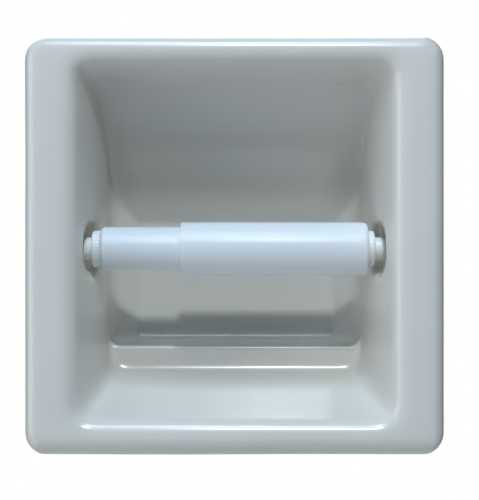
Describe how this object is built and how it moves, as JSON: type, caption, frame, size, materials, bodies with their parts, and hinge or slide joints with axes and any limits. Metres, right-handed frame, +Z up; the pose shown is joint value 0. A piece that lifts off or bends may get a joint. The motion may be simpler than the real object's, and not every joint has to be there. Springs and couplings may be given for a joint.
{
  "type": "recessed toilet paper holder",
  "caption": "Square glazed ceramic holder set into a wall, with a recess, side sockets and a sprung telescoping plastic roller for a toilet roll.",
  "frame": {"origin": "centre of the flange's back plane, on the finished wall", "axes": "+X to the right seen from the room, +Y into the wall, +Z up"},
  "size_m": [0.16, 0.0795, 0.16],
  "materials": {
    "glazed_ceramic": "glossy white glaze, bare fired clay on the hidden back",
    "white_plastic": "semi-gloss moulded plastic",
    "ivory_plastic": "semi-gloss moulded plastic, slightly warmer",
    "spring_steel": "drawn wire"
  },
  "bodies": {
    "housing": {"housing": "glazed_ceramic"},
    "roller_outer": {"roller_outer_tube": "white_plastic", "outer_end_plug": "ivory_plastic", "roller_spring": "spring_steel"},
    "roller_inner": {"roller_inner_tube": "white_plastic", "inner_end_plug": "ivory_plastic"}
  },
  "joints": [
    {"name": "roller_spin", "type": "hinge", "parent": "housing", "child": "roller_outer", "pos_m": [0, 0.013, -0.001], "axis": [1, 0, 0], "continuous": true},
    {"name": "tube_slide", "type": "slide", "parent": "roller_outer", "child": "roller_inner", "axis": [1, 0, 0], "range_m": [0, 0.012], "stiffness_N_per_m": 300, "springref_m": -0.02, "deforming": ["roller_spring"]}
  ]
}
